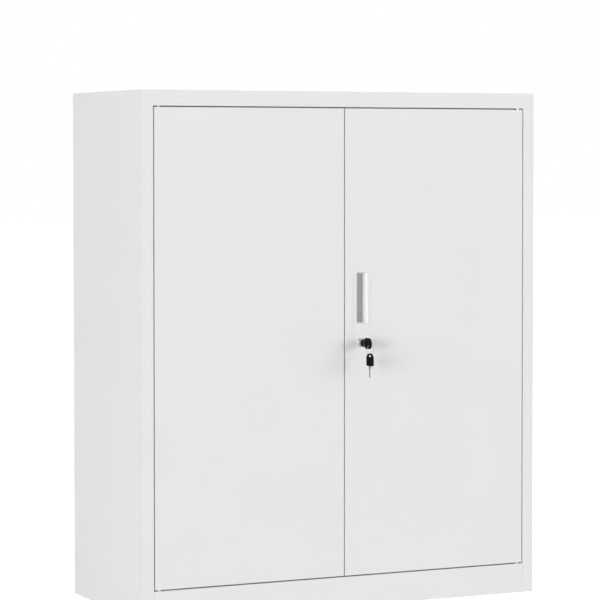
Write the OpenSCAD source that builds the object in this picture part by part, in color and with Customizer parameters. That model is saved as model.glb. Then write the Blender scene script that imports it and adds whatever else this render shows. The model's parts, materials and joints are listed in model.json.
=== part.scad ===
// Steel storage cabinet with two hinged doors, a two-point key lock and two adjustable shelves.
// Millimetres. Inside the modules x = 0 is the middle of the cabinet, y = 0 the front face of the
// doors, y grows towards the back, and z = 0 is the floor.

/* [Cabinet] */
// Overall width of the casing
cab_w = 900; // [760:10:1200]
// Overall depth of the casing
cab_d = 400; // [360:10:600]
// Overall height of the casing
cab_h = 1070; // [980:10:1400]
// Thickness of the sheet steel
sheet = 0.8; // [0.6:0.1:1.2]
// Outer radius of the sheet's folds round the doors, the casing and the shelves
fold_r = 1.1; // [0.8:0.1:1.3]
// Height of the band of the top cap
cap_h = 32; // [26:1:48]
// Height of the plinth under the doors
plinth_h = 62; // [50:1:90]
// Visible width of the post beside each door
stile_w = 25; // [20:1:40]
// Height of the door stop lips at the top and at the floor
stop_h = 12; // [10:1:16]
// Width of the inward flanges that carry the fastening screws
flange_w = 22; // [20:1:30]
// Depth of the joint flanges where the two back panels meet
back_joint = 12; // [12:1:16]
// Width of the bottom folds that stand on the floor
foot_fold = 15; // [10:1:25]

/* [Doors] */
// Gap all round and between the doors
door_gap = 2.5; // [2:0.1:4]
// Depth of the folded door pans
door_depth = 20; // [19:0.5:26]
// Width of the return lips behind the door pans
door_lip = 14; // [10:1:18]
// Distance from the outer edge of a door to its hinge axis
hinge_in = 10; // [9:0.5:14]
// Distance from the front face to the hinge axis
hinge_deep = 5; // [4.5:0.5:7]
// Radius of the hinge pins
pin_r = 2; // [1.5:0.1:2.5]
// Length of hinge pin inside its bush
pin_reach = 6; // [4:0.5:8]
// Wall of the hinge bushes
bush_wall = 1.2; // [1:0.1:1.8]
// Width of the stiffening channel in each door
stiff_w = 50; // [40:1:80]
// Depth of the stiffening channel in each door
stiff_depth = 16; // [10:1:17]

/* [Handle] */
// Width of the handle plate
handle_w = 36; // [30:1:40]
// Height of the handle plate
handle_h = 117; // [90:1:140]
// Height of the middle of the handle above the floor
handle_z = 642; // [630:1:680]
// Width of the rim round the finger pocket
handle_rim = 5; // [3:0.5:6]
// Depth of the finger pocket
pocket_depth = 19.6; // [14:0.1:26]
// How far each wall of the finger pocket leans in between the plate and the pocket's floor
pocket_lean = 3.2; // [0.5:0.1:4]
// Wall of the handle cup
handle_wall = 1.5; // [1:0.1:2]
// How far the handle plate stands in front of the door
handle_proud = 1.5; // [1:0.1:2.5]

/* [Lock] */
// Distance from the free edge of the right door to the axis of lock and handle
lock_in = 38.75; // [38.5:0.25:60]
// Height of the lock axis above the floor
lock_z = 549; // [500:1:550]
// Radius of the lock plug
plug_r = 7.9; // [7:0.1:8.5]
// Wall of the threaded lock barrel
barrel_wall = 1.5; // [1.2:0.1:2]
// Radius of the bright lock flange that lies on the door
lock_flange_r = 11.4; // [10.6:0.1:13]
// Thickness of the bright lock flange
lock_flange_t = 1.2; // [0.8:0.1:2]
// Wall of the bright collar round the plug
lock_collar_wall = 0.8; // [0.6:0.1:1.2]
// How far the bright collar stands in front of the door
lock_collar_reach = 9.4; // [7:0.1:11]
// How far the plug stands in front of the bright collar
plug_proud = 0.6; // [0.3:0.1:1.5]
// Radius from the lock axis to the cam pins
cam_r = 16; // [15.5:0.1:17]
// Thickness of the cam
cam_t = 2; // [1.5:0.1:2.5]
// Radius of the cam pins
cam_pin_r = 2; // [1.5:0.1:2.2]
// Radius of the lock rods
rod_r = 2.5; // [2.3:0.1:3]
// Thickness of the flattened rod ends
rod_flat_t = 2; // [1.5:0.1:2.2]

/* [Keys] */
// Length of the key grip
bow_l = 26.4; // [24:0.1:32]
// Width of the key grip
bow_w = 22.6; // [18:0.1:26]
// Thickness of the key grip
bow_t = 3; // [2.6:0.1:4.4]
// Width of the slot in the key grip
bow_slot_w = 10.4; // [9:0.1:12]
// Height of the slot in the key grip
bow_slot_h = 4.8; // [4.4:0.1:5.4]
// Distance from the round end of the grip to the middle of its slot
bow_slot_in = 5.7; // [5.4:0.1:8]
// Length of bare key blade
blade_l = 23.8; // [22:0.1:26]
// Width of the key blade
blade_w = 5.2; // [4.6:0.1:7]
// Width of the key's neck where it enters the grip
neck_w = 11.6; // [8:0.1:14]
// Thickness of the key blade
blade_t = 1.4; // [1:0.1:2]
// Length of blade inside the lock at rest
blade_in = 16.8; // [14:0.1:17.5]
// Radius of the key ring to the middle of its wire
ring_r = 9.9; // [9:0.1:14]
// Radius of the key ring wire
wire_r = 0.6; // [0.5:0.1:0.8]
// Turn of the key ring out of the plane of the door, in degrees
ring_turn = 17; // [0:1:18]
// Turn of the spare key on its ring, in degrees
spare_turn = 9; // [0:0.5:12]

/* [Shelves] */
// Height of the upper shelf's supports above the first slot, in slots
upper_step = 16; // [13:1:19]
// Height of the lower shelf's supports above the first slot, in slots
lower_step = 8; // [4:1:11]
// Distance between support slots
slot_pitch = 40; // [38:1:42]
// Height of the shelf edges
shelf_h = 25; // [20:1:30]
// Width of the folds under the shelf edges
shelf_fold = 15; // [12:1:20]
// Distance from the front face of the doors to the shelves
shelf_setback = 46; // [42:1:80]
// Width of the slotted uprights
upright_w = 30; // [24:1:40]
// How far the uprights stand in from the side panels
upright_t = 13; // [10:1:18]

/* [Fasteners] */
// Radius of the assembly screws
screw_r = 2.5; // [2:0.1:3]
// Radius of the screw heads
head_r = 4.8; // [4.4:0.1:5.4]
// Height of the screw heads
head_h = 2.2; // [1.8:0.1:2.6]
// Distance across the flats of the nuts
nut_af = 8; // [7.5:0.1:9]
// Thickness of the nuts
nut_h = 4; // [3:0.1:4.5]
// Distance between the wall anchor holes
anchor_spacing = 600; // [400:10:640]
// Radius of the wall anchor holes
anchor_r = 3.5; // [2.5:0.1:5]
// Distance from the top of the cabinet down to the wall anchor holes
anchor_down = 70; // [60:1:120]

/* [Hidden] */
$fn = 48;

// Colours
powder_white = [0.90, 0.90, 0.90];
bright_steel = [0.80, 0.81, 0.83];
dull_zinc = [0.66, 0.67, 0.69];
nylon_white = [0.93, 0.93, 0.90];
black_plastic = [0.06, 0.06, 0.06];
plug_black = [0.16, 0.16, 0.16];
rubber_grey = [0.30, 0.30, 0.31];
handle_white = [0.92, 0.92, 0.92];

// Fits and clearances
run_fit = 0.05;
slide_fit = 0.07;
seat_gap = 0.2;
tight_fit = 0.01;
small = 0.1;
hole_gap = 0.3;
corner_clear = 0.97;
rod_tip_gap = 0.3;
over = 1;
drill = 3;

// Levels and planes of the casing
cap_z = cab_h - cap_h;
stile_x = cab_w / 2 - stile_w;
wall_x = cab_w / 2 - sheet;
back_sheet_y = cab_d - 2 * sheet;
rear_end_y = back_sheet_y - seat_gap;
corner_r = sqrt(pow(hinge_in, 2) + pow(door_depth - hinge_deep, 2));
lip_y = hinge_deep + corner_r + corner_clear;
stile_depth = lip_y - 2;
deck_z = plinth_h + stop_h;
stile_hem = stile_w / 2;
fold_y = lip_y + sheet + small;
back_top_z = cap_z + cap_h * 0.8;
joint_end_gap = 2;
bracket_t = 1.2;
bracket_h = 22;
bracket_y0 = lip_y + 6;
bracket_end = 18;
bracket_y1 = back_sheet_y - bracket_end;

// Doors
door_w = (cab_w - 2 * stile_w - 3 * door_gap) / 2;
door_z0 = plinth_h + door_gap;
door_z1 = cap_z - door_gap;
door_x0 = door_gap / 2;
door_x1 = door_x0 + door_w;
hinge_x = door_x1 - hinge_in;
collar_h = 0.6;
bush_r = pin_r + bush_wall;
collar_r = bush_r + 0.8;
bush_reach = pin_reach + 0.5;
plate_t = 2;
plate_l = 30;
rivet_r = pin_r + 1.5;
rivet_h = 1.5;
pin_shoulder_r = rivet_r - 0.2;
stiff_hat = stiff_w / 2;
stiff_end = door_lip + 8;
handle_corner = 2;

// Lock, handle and rods
lock_x = door_x0 + lock_in;
pocket_w = handle_w - 2 * handle_rim;
pocket_h = handle_h - 2 * handle_rim;
rod_side_gap = 4;
rod_off = pocket_w / 2 + handle_wall + rod_r + rod_side_gap;
guide_wall = 1.3;
guide_r = rod_r + guide_wall;
guide_collar = 0.3;
guide_h = 6;
rod_y = door_depth - sheet - guide_r - guide_collar - small;
flat_y1 = rod_y + rod_r;
flat_y0 = flat_y1 - rod_flat_t;
cam_y1 = flat_y0 - hole_gap;
cam_y0 = cam_y1 - cam_t;
barrel_r = plug_r + run_fit + barrel_wall;
lock_collar_r = plug_r + run_fit + lock_collar_wall;
lock_edge = 0.3;
lock_nut_t = 4;
lock_nut_wall = 3;
cam_arm_w = 9;
cam_swing = 90;
slot_play = 0.55;
slot_end_gap = 0.3;
slot_wall = 3;
stub = 8;
cam_screw_r = 2;
cam_screw_gap = 1;
cam_head_r = 4;
cam_head_h = 2.5;
cam_head_cut = 1;
cam_pin_end = 1;
rod_tip_z = cap_z - rod_tip_gap;
rod_foot_z = plinth_h + rod_tip_gap;
rod_tip = 1;
rod_tip_r = rod_r - 0.6;
flat_run = cam_r + cam_arm_w / 2 + 1;
socket_gap = 0.7;
socket_wall = 0.9;
socket_r = rod_r + socket_gap;
socket_outer_r = socket_r + socket_wall;
socket_collar = 1.2;

// Keys
keyway_gap = 0.15;
plug_front = -lock_collar_reach - plug_proud;
blade_tip_y = plug_front + blade_in;
bow_end_y = blade_tip_y - blade_l;
neck_l = blade_l - blade_in;
neck_end_w = blade_w + 0.4;
tang_l = 6;
blade_point = blade_w * 0.3;
neck_gap = 0.3;
first_cut = 3.2;
cut_pitch = 3.6;
cut_w = 2.6;
cut_deep = 0.8;
bow_corner = 2;
slot_reach = bow_l - bow_slot_in;
key_slot_y = bow_end_y - slot_reach;
ring_play = 0.5;
ring_top_z = lock_z - bow_slot_w / 2 + wire_r + ring_play;
ring_mid_z = ring_top_z - ring_r;
spare_slot_z = ring_mid_z - ring_r + wire_r + ring_play - bow_slot_h / 2;
key_reach = -key_slot_y + bow_w / 2 * cos(spare_turn) + bow_t / 2 * sin(spare_turn);

// The whole box, keys and screw heads included, stands centred on the origin
front_y = -(cab_d + head_h - key_reach) / 2;

// Shelves
slot_h = 10;
slot_w = 13;
clip_w = 12;
clip_t = 1.5;
clip_hook = 8;
clip_ledge = 16;
clip_leg = 10;
shelf_side_gap = 2;
shelf_back_gap = 4;
upright_gap = 2;
upright_z0 = deck_z + upright_gap;
upright_z1 = cap_z - stop_h - upright_gap;
slot_end = 24;
first_slot = upright_z0 + slot_end;
slots = floor((upright_z1 - first_slot - slot_h - slot_end) / slot_pitch) + 1;
web_x = wall_x - upright_t;
shelf_x = web_x - shelf_side_gap;
shelf_y1 = cab_d - back_joint - shelf_back_gap;
front_post_in = 4;
rear_post_in = 9;
front_post_y = shelf_setback + front_post_in;
rear_post_y = shelf_y1 - rear_post_in - upright_w;

// Door stops and catches
buffer_r = 4;
buffer_seat = 0.2;
buffer_outer = door_w * 0.8;
buffer_inner = door_w * 0.2;
catch_x = 42;
catch_w = 46;
catch_d = 13;
catch_h = 13;
catch_plate_w = 20;
catch_plate_t = 1.5;
catch_plate_gap = 2.5;
catch_wall = 2;
catch_back = lip_y + sheet + catch_d - catch_wall;
catch_slot_h = catch_plate_gap + 2 * catch_plate_t;
magnet_set = 1;
catch_screw_r = 1.5;
catch_screw_in = 17;
catch_screw_l = 7.5;
catch_head_r = 2.8;
catch_head_h = 1.4;
catch_mid_z = cap_z - stop_h / 2 - 1;

// Fastening points
drive_r = 1.6;
drive_deep = 1;
screw_end = 1.5;
screw_grip = nut_h + 2 * sheet + screw_end;
screw_x = cab_w / 2 - flange_w / 2;
cap_screw_front = 10;
cap_screw_rear = 40;
cap_screw_ys = [front_post_y - cap_screw_front, cab_d / 2, cab_d - cap_screw_rear];
deck_screw_in = 18;
deck_screw_ys = [front_post_y + upright_w + deck_screw_in, cab_d / 2, rear_post_y - deck_screw_in];
side_screw_end = 95;
side_screw_zs = [plinth_h + side_screw_end, cab_h / 2, cap_z - side_screw_end];
joint_screw_y = cab_d - sheet - (back_joint + sheet) / 2;
cap_rear_xs = [cab_w / 9, cab_w * 3 / 8];
cap_rear_z = cap_z + cap_h * 0.6;
deck_rear_x = cab_w / 4.5;
deck_rear_z = plinth_h * 0.6;

// Cutter for the outer edge of a fold along +z, with the sheet on the sides of +x and +y
module fold_cut(length) {
    translate([0, 0, -over]) linear_extrude(height = length + 2 * over) difference() {
        translate([-over, -over]) square(fold_r + over);
        translate([fold_r, fold_r]) circle(r = fold_r);
    }
}

// Rounds an edge along x; rear and low are 1 where the sheet lies on the sides of -y and +z
module round_along_x(y, z, x0, x1, rear = 0, low = 0) {
    translate([x0, y, z]) mirror([0, rear, 0]) mirror([0, 0, low]) rotate([0, 90, 0]) fold_cut(x1 - x0);
}

// Rounds an edge along y at the top; right is 1 where the sheet lies on the side of -x
module round_along_y(x, z, y0, y1, right = 0) {
    translate([x, y0, z]) mirror([right, 0, 0]) rotate([-90, 0, 0]) fold_cut(y1 - y0);
}

// Rounds an edge along z; right and rear are 1 where the sheet lies on the sides of -x and -y
module round_along_z(x, y, z0, z1, right = 0, rear = 0) {
    translate([x, y, z0]) mirror([right, 0, 0]) mirror([0, rear, 0]) fold_cut(z1 - z0);
}

// Moves from the cabinet's own frame to the frame of the whole part
module in_cabinet() {
    translate([0, front_y, 0]) children();
}

// Repeats a right-hand piece on the left-hand side
module both_sides() {
    children();
    mirror([1, 0, 0]) children();
}

// A box given by its lowest and highest corners
module block(low, high) {
    translate(low) cube(high - low);
}

// A cylinder along y from y0 to y1
module rod_along_y(x, z, y0, y1, r) {
    translate([x, y0, z]) rotate([-90, 0, 0]) cylinder(h = y1 - y0, r = r);
}

// A cylinder along z from z0 to z1
module rod_along_z(x, y, z0, z1, r) {
    translate([x, y, z0]) cylinder(h = z1 - z0, r = r);
}

// A low screw head with a rounded edge, standing on z = 0
module screw_head() {
    rotate_extrude() {
        square([head_r - head_h / 2, head_h]);
        square([head_r, head_h / 2]);
        intersection() {
            translate([head_r - head_h / 2, head_h / 2]) circle(r = head_h / 2);
            square([head_r, head_h]);
        }
    }
}

// A screw with its head on z = 0 and its shank reaching down
module screw(grip) {
    difference() {
        union() {
            screw_head();
            translate([0, 0, -grip]) cylinder(h = grip + small, r = screw_r);
        }
        translate([0, 0, head_h - drive_deep]) cylinder(h = drive_deep + over, r = drive_r, $fn = 6);
    }
}

// A nut standing on z = 0
module nut() {
    difference() {
        cylinder(h = nut_h, r = nut_af / 2 / cos(30), $fn = 6);
        translate([0, 0, -over]) cylinder(h = nut_h + 2 * over, r = screw_r + run_fit);
    }
}

// A through hole for an assembly screw along z
module screw_hole() {
    translate([0, 0, -drill]) cylinder(h = 2 * drill, r = screw_r + hole_gap);
}

// Screws from below through the top flanges of the side panels and the side folds of the cap
module cap_screw_places() {
    both_sides()
        for (y = cap_screw_ys)
            translate([screw_x, y, cap_z - sheet]) mirror([0, 0, 1]) children();
}

// Screws through the deck and its brackets
module deck_screw_places() {
    both_sides()
        for (y = deck_screw_ys)
            translate([screw_x, y, deck_z]) children();
}

// Screws through the rear flanges of the side panels and of the cap
module back_screw_places() {
    both_sides() {
        for (z = side_screw_zs)
            translate([screw_x, cab_d, z]) rotate([-90, 0, 0]) children();
        for (x = cap_rear_xs)
            translate([x, cab_d, cap_rear_z]) rotate([-90, 0, 0]) children();
    }
}

// Screws through the back panels into the rear fold of the base
module deck_back_screw_places() {
    both_sides() translate([deck_rear_x, cab_d - sheet, deck_rear_z]) rotate([-90, 0, 0]) children();
}

// Screws through the joint flanges between the two back panels
module joint_screw_places() {
    for (z = side_screw_zs)
        translate([sheet, joint_screw_y, z]) rotate([0, 90, 0]) children();
}

module wall_anchor_holes() {
    anchor_z = cab_h - anchor_down;
    both_sides() rod_along_y(anchor_spacing / 2, anchor_z, back_sheet_y - over, cab_d + over, anchor_r);
}

// Casing

// Top cap: plate, front band with stop lip, side bands with inward folds, and rear band
module top_cap() {
    color(powder_white) in_cabinet() difference() {
        union() {
            block([-cab_w / 2, 0, cab_h - sheet], [cab_w / 2, cab_d, cab_h]);
            block([-cab_w / 2, 0, cap_z], [cab_w / 2, sheet, cab_h]);
            block([-cab_w / 2, cab_d - sheet, cap_z], [cab_w / 2, cab_d, cab_h]);
            block([-wall_x + small, 0, cap_z], [wall_x - small, lip_y + sheet, cap_z + sheet]);
            block([-wall_x + small, lip_y, cap_z - stop_h], [wall_x - small, lip_y + sheet, cap_z + sheet]);
            both_sides() {
                block([wall_x, 0, cap_z], [cab_w / 2, cab_d, cab_h]);
                block([cab_w / 2 - flange_w, 0, cap_z], [cab_w / 2, rear_end_y, cap_z + sheet]);
            }
        }
        both_sides() rod_along_z(hinge_x, hinge_deep, cap_z - over, cap_z + over, bush_r + small);
        rod_along_z(lock_x + rod_off, rod_y, cap_z - over, cap_z + over, socket_outer_r);
        round_along_x(0, cab_h, -cab_w / 2, cab_w / 2);
        round_along_x(cab_d, cab_h, -cab_w / 2, cab_w / 2, rear = 1);
        round_along_x(0, cap_z, -stile_x + over, stile_x - over, low = 1);
        cap_screw_places() screw_hole();
        back_screw_places() screw_hole();
        both_sides() {
            round_along_y(cab_w / 2, cab_h, 0, cab_d, right = 1);
            round_along_z(cab_w / 2, 0, cap_z, cab_h, right = 1);
            round_along_z(cab_w / 2, cab_d, cap_z, cab_h, right = 1, rear = 1);
            block([catch_x - catch_plate_w / 2 - hole_gap, lip_y - over, catch_mid_z - catch_h / 4],
                  [catch_x + catch_plate_w / 2 + hole_gap, lip_y + 2 * over, catch_mid_z + catch_h / 4]);
            for (x = [catch_x - catch_screw_in, catch_x + catch_screw_in])
                rod_along_y(x, catch_mid_z, lip_y - over, lip_y + 2 * over, catch_screw_r + small);
        }
    }
}

// Right side panel: outer wall, front post with its inner hem, rear flange, top and foot folds
module side_panel() {
    difference() {
        union() {
            block([wall_x, 0, 0], [cab_w / 2, cab_d, cap_z]);
            block([stile_x, 0, 0], [cab_w / 2, sheet, cap_z]);
            block([stile_x, 0, 0], [stile_x + sheet, stile_depth, cap_z]);
            block([stile_x, stile_depth - sheet, 0], [stile_x + stile_hem, stile_depth, cap_z]);
            block([cab_w / 2 - flange_w, cab_d - sheet, 0], [cab_w / 2, cab_d, cap_z]);
            block([cab_w / 2 - flange_w, fold_y, cap_z - sheet], [cab_w / 2, rear_end_y, cap_z]);
            block([cab_w / 2 - foot_fold, fold_y, 0], [cab_w / 2, back_sheet_y - sheet - seat_gap, sheet]);
        }
        round_along_z(stile_x, 0, 0, cap_z);
        round_along_z(cab_w / 2, 0, 0, cap_z, right = 1);
        round_along_z(cab_w / 2, cab_d, 0, cap_z, right = 1, rear = 1);
        cap_screw_places() screw_hole();
        back_screw_places() screw_hole();
    }
}

module right_side_panel() {
    color(powder_white) in_cabinet() side_panel();
}

module left_side_panel() {
    color(powder_white) in_cabinet() mirror([1, 0, 0]) side_panel();
}

// Right back panel: sheet inside the rear flanges, with a forward flange at the centre joint
module back_panel() {
    difference() {
        union() {
            block([0, back_sheet_y, 0], [wall_x - seat_gap, cab_d - sheet, back_top_z]);
            block([0, cab_d - sheet - back_joint, deck_z + joint_end_gap],
                  [sheet, cab_d - sheet, cap_z - joint_end_gap]);
        }
        back_screw_places() screw_hole();
        deck_back_screw_places() screw_hole();
        joint_screw_places() screw_hole();
        wall_anchor_holes();
    }
}

module right_back_panel() {
    color(powder_white) in_cabinet() back_panel();
}

module left_back_panel() {
    color(powder_white) in_cabinet() mirror([1, 0, 0]) back_panel();
}

// Base: plinth, lower strip under the doors, stop step, deck and rear fold
module base_deck() {
    strip_x = stile_x - seat_gap;
    deck_x = wall_x - seat_gap;
    color(powder_white) in_cabinet() difference() {
        union() {
            block([-strip_x, 0, 0], [strip_x, sheet, plinth_h]);
            block([-strip_x, 0, 0], [strip_x, foot_fold, sheet]);
            block([-strip_x, 0, plinth_h - sheet], [strip_x, lip_y + sheet, plinth_h]);
            block([-strip_x, lip_y, plinth_h - sheet], [strip_x, lip_y + sheet, deck_z]);
            block([-deck_x, lip_y, deck_z - sheet], [deck_x, back_sheet_y, deck_z]);
            block([-deck_x, back_sheet_y - sheet, 0], [deck_x, back_sheet_y, deck_z]);
            block([-deck_x + foot_fold, back_sheet_y - foot_fold, 0],
                  [deck_x - foot_fold, back_sheet_y, sheet]);
        }
        both_sides() rod_along_z(hinge_x, hinge_deep, plinth_h - 2 * over, plinth_h + over, bush_r + small);
        rod_along_z(lock_x - rod_off, rod_y, plinth_h - 2 * over, plinth_h + over, socket_outer_r);
        deck_screw_places() screw_hole();
        deck_back_screw_places() screw_hole();
    }
}

// Angle brackets on the side panels that carry the deck
module deck_brackets() {
    top_z = deck_z - sheet;
    color(powder_white) in_cabinet() difference() {
        both_sides() {
            block([cab_w / 2 - flange_w, bracket_y0, top_z - bracket_t], [wall_x, bracket_y1, top_z]);
            block([wall_x - bracket_t, bracket_y0, top_z - bracket_h], [wall_x, bracket_y1, top_z]);
        }
        deck_screw_places() screw_hole();
    }
}

// Slotted upright: a channel whose open side lies on the side panel
module upright(y0) {
    difference() {
        union() {
            block([web_x, y0, upright_z0], [web_x + sheet, y0 + upright_w, upright_z1]);
            block([web_x, y0, upright_z0], [wall_x, y0 + sheet, upright_z1]);
            block([web_x, y0 + upright_w - sheet, upright_z0], [wall_x, y0 + upright_w, upright_z1]);
        }
        for (i = [0 : slots - 1]) {
            slot_z = first_slot + i * slot_pitch;
            block([web_x - over, y0 + (upright_w - slot_w) / 2, slot_z],
                  [web_x + 2 * over, y0 + (upright_w + slot_w) / 2, slot_z + slot_h]);
        }
    }
}

module front_right_upright() {
    color(powder_white) in_cabinet() upright(front_post_y);
}

module front_left_upright() {
    color(powder_white) in_cabinet() mirror([1, 0, 0]) upright(front_post_y);
}

module rear_right_upright() {
    color(powder_white) in_cabinet() upright(rear_post_y);
}

module rear_left_upright() {
    color(powder_white) in_cabinet() mirror([1, 0, 0]) upright(rear_post_y);
}

// Shelf clip: a hook behind the upright's face, a ledge in front of it and a leg below the ledge
module shelf_clip(y0, z0) {
    mid_y = y0 + upright_w / 2;
    front = mid_y - clip_w / 2;
    back = mid_y + clip_w / 2;
    hook_x = web_x + sheet + small;
    block([hook_x, front, z0], [hook_x + clip_t, back, z0 + clip_hook]);
    block([web_x - clip_ledge, front, z0], [hook_x + clip_t, back, z0 + clip_t]);
    block([web_x - small - clip_t, front, z0 - clip_leg], [web_x - small, back, z0 + clip_t]);
}

module shelf_clips(step) {
    clip_z = first_slot + step * slot_pitch;
    color(dull_zinc) in_cabinet() both_sides()
        for (y0 = [front_post_y, rear_post_y]) shelf_clip(y0, clip_z);
}

module upper_shelf_clips() {
    shelf_clips(upper_step);
}

module lower_shelf_clips() {
    shelf_clips(lower_step);
}

// Shelf: a tray with edges folded down and in, resting on its clips
module shelf(step) {
    z0 = first_slot + step * slot_pitch + clip_t;
    z1 = z0 + shelf_h;
    color(powder_white) in_cabinet() difference() {
        shelf_tray(z0, z1);
        round_along_x(shelf_setback, z1, -shelf_x, shelf_x);
        round_along_x(shelf_y1, z1, -shelf_x, shelf_x, rear = 1);
        both_sides() round_along_y(shelf_x, z1, shelf_setback, shelf_y1, right = 1);
    }
}

// Folded sheet of a shelf from z0 to z1
module shelf_tray(z0, z1) {
    block([-shelf_x, shelf_setback, z1 - sheet], [shelf_x, shelf_y1, z1]);
    for (edge = [[shelf_setback, 1], [shelf_y1, -1]]) {
        inner = edge[0] + edge[1] * sheet;
        fold = edge[0] + edge[1] * shelf_fold;
        block([-shelf_x, min(edge[0], inner), z0], [shelf_x, max(edge[0], inner), z1]);
        block([-shelf_x, min(edge[0], fold), z0], [shelf_x, max(edge[0], fold), z0 + sheet]);
    }
    both_sides() {
        block([shelf_x - sheet, shelf_setback, z0], [shelf_x, shelf_y1, z1]);
        block([shelf_x - shelf_fold, shelf_setback, z0], [shelf_x, shelf_y1, z0 + sheet]);
    }
}

module upper_shelf() {
    shelf(upper_step);
}

module lower_shelf() {
    shelf(lower_step);
}

// Hinges

// Bush with its collar on z = 0 and its barrel reaching up
module hinge_bush() {
    difference() {
        union() {
            translate([0, 0, -collar_h]) cylinder(h = collar_h, r = collar_r);
            cylinder(h = bush_reach, r = bush_r);
        }
        translate([0, 0, -over * 2]) cylinder(h = bush_reach + 4 * over, r = pin_r + run_fit);
    }
}

module hinge_bushes() {
    color(nylon_white) in_cabinet() both_sides() {
        translate([hinge_x, hinge_deep, cap_z]) hinge_bush();
        translate([hinge_x, hinge_deep, plinth_h]) mirror([0, 0, 1]) hinge_bush();
    }
}

// Upper pin: riveted under the hinge plate, through the top fold of the door into the bush
module upper_pin() {
    plate_z = door_z1 - sheet - plate_t;
    rod_along_z(hinge_x, hinge_deep, plate_z - rivet_h, cap_z + pin_reach, pin_r);
    rod_along_z(hinge_x, hinge_deep, plate_z - rivet_h, plate_z, rivet_r);
}

// Lower pin: as the upper one, with a shoulder that carries the door on the bush collar
module lower_pin() {
    plate_z = door_z0 + sheet + plate_t;
    rod_along_z(hinge_x, hinge_deep, plinth_h - pin_reach, plate_z + rivet_h, pin_r);
    rod_along_z(hinge_x, hinge_deep, plate_z, plate_z + rivet_h, rivet_r);
    rod_along_z(hinge_x, hinge_deep, plinth_h + collar_h + small, door_z0, pin_shoulder_r);
}

// Steel plates behind the top and bottom folds that hold the hinge pins
module hinge_plates() {
    difference() {
        for (z = [door_z0 + sheet, door_z1 - sheet - plate_t])
            block([door_x1 - sheet - plate_l, sheet, z], [door_x1 - sheet, door_depth - sheet, z + plate_t]);
        rod_along_z(hinge_x, hinge_deep, door_z0, door_z1, pin_r);
    }
}

module right_hinge_plates() {
    color(dull_zinc) in_cabinet() hinge_plates();
}

module left_hinge_plates() {
    color(dull_zinc) in_cabinet() mirror([1, 0, 0]) hinge_plates();
}

module right_upper_hinge_pin() {
    color(bright_steel) in_cabinet() upper_pin();
}

module left_upper_hinge_pin() {
    color(bright_steel) in_cabinet() mirror([1, 0, 0]) upper_pin();
}

module right_lower_hinge_pin() {
    color(bright_steel) in_cabinet() lower_pin();
}

module left_lower_hinge_pin() {
    color(bright_steel) in_cabinet() mirror([1, 0, 0]) lower_pin();
}

// Doors

// Door pan for the right-hand side: front sheet, four folds and four return lips
module door_pan() {
    difference() {
        union() {
            block([door_x0, 0, door_z0], [door_x1, sheet, door_z1]);
            for (x = [door_x0, door_x1 - sheet])
                block([x, 0, door_z0], [x + sheet, door_depth, door_z1]);
            for (z = [door_z0, door_z1 - sheet])
                block([door_x0, 0, z], [door_x1, door_depth, z + sheet]);
            for (x = [door_x0, door_x1 - door_lip])
                block([x, door_depth - sheet, door_z0], [x + door_lip, door_depth, door_z1]);
            for (z = [door_z0, door_z1 - door_lip])
                block([door_x0, door_depth - sheet, z], [door_x1, door_depth, z + door_lip]);
        }
        round_along_z(door_x0, 0, door_z0, door_z1);
        round_along_z(door_x1, 0, door_z0, door_z1, right = 1);
        round_along_x(0, door_z0, door_x0, door_x1, low = 1);
        round_along_x(0, door_z1, door_x0, door_x1);
        rod_along_z(hinge_x, hinge_deep, door_z0 - over, door_z0 + 2 * over, pin_r);
        rod_along_z(hinge_x, hinge_deep, door_z1 - 2 * over, door_z1 + over, pin_r);
    }
}

// Hat-shaped channel welded down the middle of a door
module stiffener() {
    mid = (door_x0 + door_x1) / 2;
    z0 = door_z0 + stiff_end;
    z1 = door_z1 - stiff_end;
    back = sheet + stiff_depth;
    for (side = [-1, 1]) {
        inner = mid + side * stiff_hat / 2;
        outer = mid + side * stiff_w / 2;
        web = inner - side * sheet;
        block([min(inner, outer), sheet, z0], [max(inner, outer), 2 * sheet, z1]);
        block([min(inner, web), sheet, z0], [max(inner, web), back, z1]);
    }
    block([mid - stiff_hat / 2, back - sheet, z0], [mid + stiff_hat / 2, back, z1]);
}

module left_door_panel() {
    color(powder_white) in_cabinet() mirror([1, 0, 0]) door_pan();
}

module left_door_stiffener() {
    color(powder_white) in_cabinet() mirror([1, 0, 0]) stiffener();
}

module right_door_panel() {
    cup_w = pocket_w + 2 * handle_wall + 2 * seat_gap;
    cup_h = pocket_h + 2 * handle_wall + 2 * seat_gap;
    color(powder_white) in_cabinet() difference() {
        door_pan();
        block([lock_x - cup_w / 2, -over, handle_z - cup_h / 2],
              [lock_x + cup_w / 2, 2 * over, handle_z + cup_h / 2]);
        rod_along_y(lock_x, lock_z, -over, 2 * over, barrel_r + small);
        rod_along_z(lock_x + rod_off, rod_y, door_z1 - 2 * over, door_z1 + over, guide_r + run_fit);
        rod_along_z(lock_x - rod_off, rod_y, door_z0 - over, door_z0 + 2 * over, guide_r + run_fit);
    }
}

module right_door_stiffener() {
    color(powder_white) in_cabinet() stiffener();
}

// Handle: rounded plate on the door with a deep finger pocket behind it
module handle_cup() {
    corner_x = handle_w / 2 - handle_corner;
    corner_z = handle_h / 2 - handle_corner;
    color(handle_white) in_cabinet() translate([lock_x, 0, handle_z]) difference() {
        union() {
            rotate([90, 0, 0]) linear_extrude(height = handle_proud) {
                square([2 * corner_x, handle_h], center = true);
                square([handle_w, 2 * corner_z], center = true);
                for (x = [-corner_x, corner_x], z = [-corner_z, corner_z])
                    translate([x, z]) circle(r = handle_corner);
            }
            leaning_pocket(handle_wall, -small, pocket_depth - handle_proud + handle_wall);
        }
        leaning_pocket(0, -handle_proud - over, pocket_depth - handle_proud);
    }
}

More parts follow.
